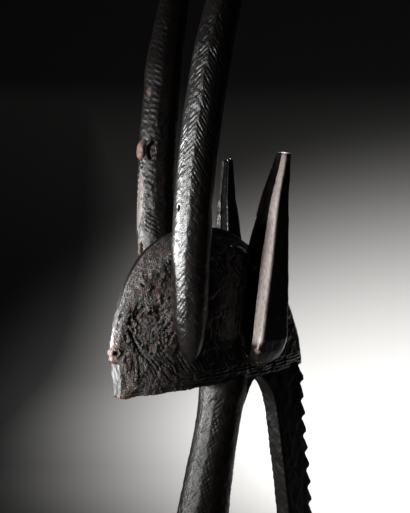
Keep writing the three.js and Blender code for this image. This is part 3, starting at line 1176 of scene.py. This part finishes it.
@dataclass(frozen=True)
class HeadAndEars(Carved):
    """The half disc of the head, with the two ears behind the horns."""

    head: Head = Head()
    ears: tuple[Ear, Ear] = (Ear(Side.LEFT, 558.5, 3.4), Ear(Side.RIGHT, 555.5))
    ring: Point = (-97.6, 425.5)
    eye: Point = (-123.6, 409.7)
    eye_depth: float = 3.5
    hatching: Lines = Lines(2.8, 1.5, 5)
    grid: tuple[Lines, Lines] = (Lines(3.4, 1.3, 91), Lines(4.2, 1.3, 93))
    rows: Lines = Lines(2.8, 1.5, 95)
    far_side_dust: float = 0.4

    def forms(self) -> list[Any]:
        """The head and the ears."""
        return [self.head, *self.ears]

    def on_head(self, places: Array, normals: Array) -> Array:
        """Where a place belongs to the flat sides of the head, from 0 to 1.

        Args:
            places: Places in millimetres, in rows.
            normals: The way that the surface faces at each place.

        Returns:
            One value for each place.
        """
        x, y, z = places.T
        flush = smoothstep(2.8, 1.4, np.abs(np.abs(x) - self.head.half_at(y, z)))
        return smoothstep(0.35, 0.65, np.abs(normals[:, 0])) * flush * (z > self.head.underside - 1)

    def relief(self, places: Array, normals: Array) -> Array:
        """A smooth rim, cut lines and a flaking crust on the sides of the head, and the marks of the ears.

        Args:
            places: Places in millimetres, in rows.
            normals: The way that the surface faces at each place.

        Returns:
            One height for each place.
        """
        x, y, z = places.T
        to_rim = self.head.to_rim(y, z)
        inside = smoothstep(7, 11, to_rim + noises(places, ((4.0, 9, 71), (1.5, 2.6, 70))))
        lower = smoothstep(-104, -92, y) * within(z, 387, 391, 402, 412)
        lined = np.clip(lower + smoothstep(456, 464, z), 0, 1)
        crust = self.crust(places, lined) - self.lines(places, lined)
        edge = 0.25 * noise(places, 4.0, 79) * smoothstep(1, 4, to_rim) * (1 - inside)
        eye = np.hypot(y - self.eye[0], z - self.eye[1])
        eyelet = within(eye, 1.3, 2.0, 3.0, 3.6) - self.eye_depth * smoothstep(1.6, 1.1, eye)
        marked = self.on_head(places, normals) * (inside * crust + edge)
        return marked + eyelet * (np.abs(x) > 1) + self.ear_relief(places)

    def lines(self, places: Array, lined: Array) -> Array:
        """The depth of the hatching, of the square grid on the chin and of the rows along the underside.

        Args:
            places: Places in millimetres, in rows.
            lined: Where the hatching is, from 0 to 1.

        Returns:
            One depth for each place.
        """
        _, y, z = places.T
        wavy = 1.4 * noise(places, 11, 72)
        slant = y * 0.8 + z * 0.6 + wavy
        broken = smoothstep(-0.3, 0.1, noise(np.column_stack([slant * 1.4, (y - z) * 0.35]), 5.0, 75))
        chin = smoothstep(-98, -106, y) * within(z, 387, 391, 404, 410)
        grid = self.grid[0].cut(z + wavy) * broken + self.grid[1].cut(y + wavy)
        rows = self.rows.cut(z + 0.3 * wavy) * smoothstep(391, 388, z)
        return 1.1 * self.hatching.cut(slant) * broken * lined + 0.8 * grid * chin + 0.8 * rows

    def crust(self, places: Array, lined: Array) -> Array:
        """The height of the granular crust, which has flaked and pitted in a ring on the left side.

        Args:
            places: Places in millimetres, in rows.
            lined: Where the hatching is, from 0 to 1.

        Returns:
            One height for each place.
        """
        x, y, z = places.T
        flat = places * np.array([0.6, 1, 1])
        near = (x > 0) * 1.0
        ring = np.hypot(y - self.ring[0], z - self.ring[1]) + 2.6 * noise(places, 6, 76)
        band = within(ring, 9.5, 12, 17, 20) * near
        core = smoothstep(13, 10, ring) * near
        above = smoothstep(-102, -112, y) * within(z, 424, 434, 446, 454) * near
        upper_left = smoothstep(8, -6, (y - self.ring[0]) - 0.8 * (z - self.ring[1]))
        reach, name = pebbles(flat, 2.9, 101)
        pits = smoothstep(0.75, 0.4, reach + 0.35 * noise(places, 1.9, 73)) * (name > 0.35)
        reach, name = pebbles(flat + 31, 5.5, 111)
        holes = smoothstep(0.32, 0.14, reach + 0.12 * noise(places, 1.7, 77)) * (name > 0.5)
        granules, _ = pebbles(flat + 13, 1.9, 131)
        trench = flakes(places, 4.5, 78)
        depth = band * (0.9 * trench * (0.3 + 0.7 * upper_left) + 1.0 * pits) + 1.2 * above * pits * trench
        depth += 0.9 * holes * smoothstep(36, 22, ring) + granules * (0.5 + 0.7 * core) * (1 - 0.6 * lined)
        plates = 0.6 * flakes(places, 8, 141) * (1 - core) + 0.4 * noise(places, 5, 142)
        return 1.0 + plates * near - depth

    def ear_relief(self, places: Array) -> Array:
        """Scrapes along the rims of the ears and shallow adze facets behind them.

        Args:
            places: Places in millimetres, in rows.

        Returns:
            One height for each place.
        """
        x, y, z = places.T
        ears = smoothstep(13, 16, np.abs(x)) * smoothstep(-16, -12, y) * smoothstep(386, 392, z)
        rims = sum(ear.rim(places) for ear in self.ears)
        reach, name = pebbles(places * np.array([1, 1, 0.55]), 7.5, 151)
        facets = 0.3 * reach**2 + 0.12 * (name - 0.5)
        scrapes = noise(places * np.array([1, 1, 0.12]), 1.6, 152)
        return ears * ((1 - rims) * facets + 0.1 * rims * scrapes)

    def layers(self, places: Array, normals: Array) -> dict[str, Array]:
        """The dry grey crust of the head's front, and the smooth pale rim of the near ear, worn wood that is
        partly a painted highlight.

        Args:
            places: Places in millimetres, in rows.
            normals: The way that the surface faces at each place.

        Returns:
            One value for each place, by the name of its layer.
        """
        found = super().layers(places, normals)
        x, y, z = places.T
        # Worn wood and painted highlight: only the near ear's rim is made pale, the far ear's is left dark.
        found["pale"] = self.ears[0].rim(places)
        # Painted shade: the grey dust gives way to dark crust toward the lower back, where the light falls
        # off, and above 448 mm.
        painted_head_shade = 0.6 * smoothstep(-112, -84, y) * smoothstep(428, 398, z)
        painted_head_shade = np.maximum(painted_head_shade, 0.4 * smoothstep(448, 466, z))
        front = self.on_head(places, normals) * smoothstep(-48, -88, y)
        shown = np.where(x > 0, 1.0, self.far_side_dust) * (1 - painted_head_shade)
        found["dusty"] = front * shown * (0.8 + 0.2 * smoothstep(4, 13, self.head.to_rim(y, z)))
        found["crusted"] = found["crusted"] * (1 - 0.9 * found["pale"]) + 0.8 * front
        return found


@dataclass(frozen=True)
class LoneHorn(Carved):
    """One horn. A strip of it may be shaved flat."""

    horn: Horn = Horn()
    strip: Spot | None = None
    strip_depth: float = 0.7
    strip_pale: float = 0.35
    thick_below: Range = (640, 560)

    def forms(self) -> list[Any]:
        """The horn."""
        return [self.horn]

    def shaved(self, places: Array) -> Array:
        """Where the strip is, from 0 to 1."""
        return self.strip.cover(places) if self.strip else np.zeros(len(places))

    def relief(self, places: Array, normals: Array) -> Array:
        """The marks of the horn, without them where the strip is shaved flat."""
        strip = self.shaved(places)
        return self.horn.relief(places) * (1 - strip) - self.strip_depth * strip

    def layers(self, places: Array, normals: Array) -> dict[str, Array]:
        """The shaved strip, and the thicker crust of a horn that has one.

        Args:
            places: Places in millimetres, in rows.
            normals: Not used.

        Returns:
            One value for each place, by the name of its layer.
        """
        found = super().layers(places, normals)
        strip = self.shaved(places)
        found["pale"] = self.strip_pale * strip
        if self.strip:
            thicker = found["crusted"] + 0.5 * smoothstep(*self.thick_below, places[:, 2])
            found["crusted"] = thicker * (1 - 0.85 * strip)
        return found


@dataclass(frozen=True)
class NeckAndBody(Carved):
    """Everything under the head: the neck, the toothed mane, the small body on its legs, and the base."""

    neck: Limb = NECK
    neck_radius: float = 18
    fine: Gouge = Gouge(9.4, 4.2, 1.1, 51, 3)
    broad: Gouge = Gouge(13.0, 7.5, 2.4, 61)
    carved_between: tuple[float, float, float, float] = (118, 150, 362, 373)

    def forms(self) -> list[Any]:
        """The forms under the head.

        Returns:
            All from the neck down to the base.
        """
        limbs = [Limb(sides=40, steps=60, side=s, stations=p) for s in Side for p in (FORELEG, HINDLEG)]
        tail = Limb(sides=32, steps=50, stations=TAIL)
        return [self.neck, Mane(), Trunk(), *limbs, tail, Base()]

    def relief(self, places: Array, normals: Array) -> Array:
        """Slanting gouge cuts on the neck, and adze facets everywhere else.

        Args:
            places: Places in millimetres, in rows.
            normals: Not used.

        Returns:
            One height for each place.
        """
        at, around, off = self.neck.around(places)
        neck = smoothstep(3.0, 1.2, np.abs(off)) * within(places[:, 2], *self.carved_between)
        at = at + 2.4 * noise(places, 18, 41)
        around = around * self.neck_radius + 2.0 * noise(places, 26, 42)
        cuts = 0.8 * self.fine.cut(at, around) + 0.35 * self.broad.cut(at, around + 6)
        worn = 0.4 + 0.6 * smoothstep(0.5, -0.3, noise(places, 24, 43))
        reach, name = pebbles(places * np.array([1, 1, 0.6]), 8.5, 121)
        facets = 0.4 * reach**2 + 0.2 * (name - 0.5)
        return (1 - neck) * facets - neck * cuts * worn


def read(mesh: bpy.types.Mesh) -> tuple[Array, Array]:
    """The places of a mesh's vertices in millimetres, and their normals.

    Args:
        mesh: A mesh in metres.

    Returns:
        The places and the normals, in rows.
    """
    found = []
    for name in ("co", "normal"):
        values = np.empty(len(mesh.vertices) * 3, np.float32)
        mesh.vertices.foreach_get(name, values)
        found.append(values.reshape(-1, 3).astype(float))
    return found[0] / MM, found[1]


def write(mesh: bpy.types.Mesh, places: Array) -> None:
    """Moves a mesh's vertices to places in millimetres."""
    mesh.vertices.foreach_set("co", (places * MM).astype(np.float32).ravel())
    mesh.update()


def settle(piece: bpy.types.Object) -> None:
    """Makes a piece's modifiers part of its mesh.

    Args:
        piece: The object that carries the modifiers.
    """
    graph = bpy.context.evaluated_depsgraph_get()
    made = bpy.data.meshes.new_from_object(piece.evaluated_get(graph))
    old = piece.data
    piece.modifiers.clear()
    piece.data = made
    bpy.data.meshes.remove(old)


def crest() -> tuple[Carved, ...]:
    """The four parts of the crest, with their damage.

    Dents have a positive depth and bosses a negative one.

    Returns:
        The head, both horns, and the neck with the body.
    """
    lip = (
        *((15.6, -10.5, 412), (15.5, -9, 403), (15.2, -3.5, 394.5)),
        *((22, -4, 388.5), (30, -6, 392.5), (35, -10, 404)),
    )
    head = HeadAndEars(
        "crest_head",
        dents=(
            Spot((8.0, -109.5, 438), (6, 4.2, 6.0), 1.3, 0.8),
            Spot((5.4, -119.6, 436), (4, 1.8, 2.0), 1.4, 0.5),
            Spot((6.3, -116.5, 421), (4, 1.5, 2.5), 1.2, 0.5),
            Spot((9.0, -104.0, 459), (5, 2.2, 2.6), 1.6, 0.6),
            Spot((9.5, -100.5, 464), (5, 3.0, 2.2), 1.3, 0.6),
            Spot((5.8, 67.5, 382), (6, 1.8, 1.8), 2.4, 0.05),
        ),
        cuts=(
            Cut((7, -115, 426), (9, -104.8, 408), 1.6, 2.2, 1.2),
            Cut((9, -104.8, 408), (10.5, -93, 396), 1.1, 0.9, 0.8),
            Cut((10, -97.6, 404), (12.5, -81.8, 386), 1.0, 1.0, 0.3),
            Cut((11.4, -89.4, 400), (13.5, -74, 388), 1.0, 1.0, 0.3),
            Cut((3, -119.2, 404), (3, -119.2, 379), 0.9, 0.9, 0.1),
            *chain(lip, 2.1, -1.5, 0.2),
        ),
        bare=(
            Spot((9.9, -98.5, 462), (5, 6, 5), 0.8, 0.6),
            Spot((13, -81, 450), (6, 4, 22), 0.45, 0.7),
            Spot((3, -125, 408), (6, 3.5, 10), 0.95),
            Spot((3.5, -119, 377), (6, 5, 3), 0.9),
            Spot((8, -108, 447), (6, 9, 5), 0.4, 0.6),
            Spot((10, 40, 374), (6, 14, 7), 0.6),
            # Painted highlights: brown spots along the rounded lip under the near ear's trough.
            Spot((15.6, -10, 408), (3, 3, 5), 0.8, 0.5),
            Spot((15.4, -6, 399), (3, 3, 4), 0.7, 0.5),
            Spot((34.5, -10, 402), (3, 4, 5), 0.8, 0.5),
            Spot((31, -7, 394.5), (4, 4, 3), 0.7, 0.5),
            Spot((39, 20, 557), (5, 6, 6), 0.9),
            Spot((-39, 20, 554), (5, 6, 6), 0.7),
        ),
    )
    ribs = (Cut((-17, -82, z), (-8.5, -75, z - 6), 1.0, 0.9, 0.3) for z in (512, 508.6, 505.2, 501.8, 498.4))
    dry = PatinatedWood(name="dry_patina", roughness=0.4, specular=0.2)
    left = LoneHorn(
        "crest_left_horn",
        dents=(Spot((24.7, -80.4, 515.3), (2.0, 4, 3.4), 2.6, 0.3),),
        bare=(Spot((15.5, -82, 452), (3.5, 6, 26), 0.4, 0.6),),
    )
    right = LoneHorn(
        "crest_right_horn",
        dents=(
            Spot((-27.5, -80.5, 560.6), (7.0, 8, 9.5), -2.4, 0.08, 0.55),
            Spot((-17.6, -77, 560.5), (3.4, 6, 7.5), 3.2, 0.3, 0.6),
            Spot((-21.5, -84, 483), (3.0, 5, 4.6), 3.0, 0.3),
        ),
        cuts=(
            Cut((-33, -76, 550.6), (-19, -84, 550.6), 1.1, 1.0, 0.2),
            Cut((-33, -76, 547.6), (-19, -84, 547.6), 1.0, 0.8, 0.2),
            Cut((-33, -76, 523.4), (-21, -84, 522.4), 1.1, 0.9, 0.1),
            Cut((-20.6, -85, 548), (-20.2, -85, 488), 1.1, 1.0, 0.3),
            *ribs,
        ),
        bare=(
            Spot((-27.5, -80.5, 560.6), (6.5, 8, 9), 0.7, 0.3, 0.7),
            Spot((-24.0, -84, 484), (5, 6, 7), 0.5, 0.5),
            Spot((-28, -76, 605), (6, 8, 9), 0.5, 0.6),
        ),
        finish=dry,
        horn=Horn(side=Side.RIGHT, pitch=4.6, slope=0.45, cut_depth=0.5),
        strip=Spot((-25.5, -81.5, 520), (5.2, 5.0, 28), 0.7, 0.15, 0.8),
    )
    return head, left, right, NeckAndBody("crest_neck_and_body", 1.1, finish=dry)


@dataclass(frozen=True)
class Camera:
    """A level camera on the animal's left front, as in the photograph."""

    azimuth: float = 50
    distance: float = 640
    height: float = 521
    pivot_back: float = -36
    focal_px: float = 800
    image: tuple[int, int] = (410, 513)
    centre: tuple[int, int] = (205, 200)
    film: float = 36
    clip: Range = (0.05, 50)

    def build(self) -> None:
        """Adds the camera and makes it the scene's."""
        turn = math.radians(self.azimuth)
        data = bpy.data.cameras.new("camera")
        data.sensor_width = self.film
        data.lens = self.film * self.focal_px / max(self.image)
        data.shift_y = (self.centre[1] - self.image[1] / 2) / max(self.image)
        data.clip_start, data.clip_end = self.clip
        camera = in_scene("camera", data)
        place = Vector((math.sin(turn), -math.cos(turn), 0)) * self.distance
        camera.location = (place + Vector((0, self.pivot_back, self.height))) * MM
        camera.rotation_euler = (math.pi / 2, 0, turn)
        bpy.context.scene.camera = camera


@dataclass(frozen=True)
class Lamp:
    """A lamp that points at a place. Its sizes and places are metres, and its angle is in degrees."""

    name: str
    place: Place
    target: Place
    watts: float
    angle: float

    def light(self) -> bpy.types.Light:
        """Makes the light itself."""
        raise NotImplementedError

    def build(self) -> None:
        """Adds the lamp to the scene."""
        light = self.light()
        light.energy = self.watts
        lamp = in_scene(self.name, light)
        lamp.location = self.place
        lamp.rotation_euler = (Vector(self.target) - Vector(self.place)).to_track_quat("-Z", "Y").to_euler()
        lamp.visible_camera = False


@dataclass(frozen=True)
class Softbox(Lamp):
    """A rectangular lamp behind a grid, which keeps its light within an angle."""

    size: tuple[float, float] = (0.2, 0.2)

    def light(self) -> bpy.types.Light:
        """Makes the rectangle.

        Returns:
            The light.
        """
        light = bpy.data.lights.new(self.name, "AREA")
        light.shape = "RECTANGLE"
        light.size, light.size_y = self.size
        light.spread = math.radians(self.angle)
        return light


@dataclass(frozen=True)
class Spotlight(Lamp):
    """A round lamp whose pool of light fades evenly towards its edge."""

    radius: float = 0.1
    fade: float = 1

    def light(self) -> bpy.types.Light:
        """Makes the cone.

        Returns:
            The light.
        """
        light = bpy.data.lights.new(self.name, "SPOT")
        light.spot_size = math.radians(self.angle)
        light.spot_blend = self.fade
        light.shadow_soft_size = self.radius
        return light


@dataclass(frozen=True)
class Studio:
    """A pale floor that curves up into a round backdrop, under small softboxes with grids.

    Most of them stand on the animal's right front, one is behind it, and a spotlight makes a pool of light
    behind the crest. The paper is painted with shade around that pool: it gets darker upwards and to both
    sides of it.
    """

    floor_radius: float = 1.7
    cove: float = 0.9
    wall: float = 3.0
    cove_step: int = 6
    turn_steps: int = 96
    pale: str = "#c4c2c0"
    # Painted shade on the backdrop: the grey the paper darkens to away from the pool of light.
    painted_backdrop_shade: str = "#1c1c1c"
    matt: float = 0.9
    painted_shade_full_above: float = 1.0
    painted_shade_power: float = 0.6
    behind: Point = (-0.766, 0.643)
    behind_range: Range = (0.2, 0.9)
    beside: Point = (-0.643, -0.766)
    left_range: Range = (-0.1, 0.5)
    left_most: float = 0.94
    right_range: Range = (-0.6, -1.2)
    air: str = "#ffffff"
    air_strength: float = 0.03
    lamps: tuple[Lamp, ...] = (
        Softbox("key", (-0.98, -1.05, 0.4), (0, -0.05, 0.49), 0.56, 21),
        Softbox("second_key", (-0.70, -1.27, 0.38), (0, -0.05, 0.455), 0.24, 21),
        Softbox("third_key", (-0.22, -1.43, 0.3), (0.02, -0.07, 0.425), 0.2, 14),
        Softbox("under", (-0.86, -1.12, 0.1), (0, -0.05, 0.425), 0.1, 16, (0.16, 0.16)),
        Softbox("face", (0.14, -1.44, 0.6), (0, -0.05, 0.46), 0.38, 21, (0.16, 0.18)),
        Softbox("low", (-0.72, -1.2, 0.16), (0, 0, 0.07), 0.5, 22, (0.2, 0.16)),
        Softbox("back", (-1.3, 1.2, 1.5), (0, 0, 0.45), 1.0, 24, (0.5, 0.5)),
        Spotlight("pool", (0.27, 0.55, 2.0), (-0.60, 1.43, 0), 620, 66),
    )

    def build(self) -> None:
        """Adds the floor, the lamps and the faint light all round."""
        self.sweep()
        for lamp in self.lamps:
            lamp.build()
        world = bpy.data.worlds.new("air")
        bpy.context.scene.world = world
        world.use_nodes = True
        background = world.node_tree.nodes["Background"]
        background.inputs["Color"].default_value = linear(self.air)
        background.inputs["Strength"].default_value = self.air_strength
        bpy.context.scene.view_settings.view_transform = "Standard"

    def paper(self) -> bpy.types.Material:
        """Makes the matt backdrop paper: pale, with painted shade that darkens it up and across the wall
        behind the crest.

        Returns:
            The material.
        """
        made = bpy.data.materials.new("backdrop_paper_with_painted_shade")
        made.use_nodes = True
        tree = made.node_tree
        place = add(tree, "TexCoord", {}).outputs["Object"]
        behind, aside = (
            add(tree, "VectorMath", {"operation": "DOT_PRODUCT", 1: (*way, 0)}, place).outputs["Value"]
            for way in (self.behind, self.beside)
        )
        behind = add(tree, "MapRange", {}, behind, *self.behind_range)
        left = add(tree, "MapRange", {"To Max": self.left_most}, aside, *self.left_range)
        right = add(tree, "MapRange", {}, aside, *self.right_range)
        up = add(tree, "SeparateXYZ", {}, place).outputs["Z"]
        rise = add(tree, "MapRange", {}, up, 0, self.painted_shade_full_above)
        rise = add(tree, "Math", {"operation": "POWER"}, rise, self.painted_shade_power)
        larger = {"operation": "MAXIMUM"}
        around = add(tree, "Math", larger, behind, right)
        most = add(tree, "Math", larger, add(tree, "Math", larger, rise, left), right)
        # Painted shade: how far the paper is darkened toward the grey around the pool of light.
        painted_shade_share = add(tree, "Math", {"operation": "MULTIPLY"}, around, most)
        greys = {6: linear(self.pale), 7: linear(self.painted_backdrop_shade)}
        colour = add(tree, "Mix", {"data_type": "RGBA", **greys}, painted_shade_share).outputs[2]
        shader = tree.nodes["Principled BSDF"]
        shader.inputs["Roughness"].default_value = self.matt
        tree.links.new(colour, shader.inputs["Base Color"])
        return made

    def sweep(self) -> None:
        """Adds the floor and backdrop as one turned surface."""
        profile = bmesh.new()
        turns = [math.radians(a) for a in range(0, 90 + self.cove_step, self.cove_step)]
        cove = [(self.floor_radius + self.cove * math.sin(a), self.cove * (1 - math.cos(a))) for a in turns]
        line = [(0.0, 0.0), *cove, (self.floor_radius + self.cove, self.wall)]
        verts = [profile.verts.new((r, 0, z)) for r, z in line]
        edges = [profile.edges.new(pair) for pair in zip(verts, verts[1:])]
        turned = {"cent": (0, 0, 0), "axis": (0, 0, 1), "angle": 2 * math.pi, "steps": self.turn_steps}
        bmesh.ops.spin(profile, geom=[*verts, *edges], use_merge=True, **turned)
        bmesh.ops.remove_doubles(profile, verts=profile.verts, dist=1e-5)
        bmesh.ops.recalc_face_normals(profile, faces=profile.faces)
        mesh = meshed("floor", profile)
        mesh.shade_smooth()
        mesh.materials.append(self.paper())
        floor = in_scene("floor", mesh)


def main() -> None:
    """Builds the crest and the studio around it."""
    logging.basicConfig(level=logging.INFO, format="%(message)s")
    Camera().build()
    Studio().build()
    for part in crest():
        piece = part.build()
        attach(piece, "root")
        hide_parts("headdress")


if __name__ == "__main__":
    main()
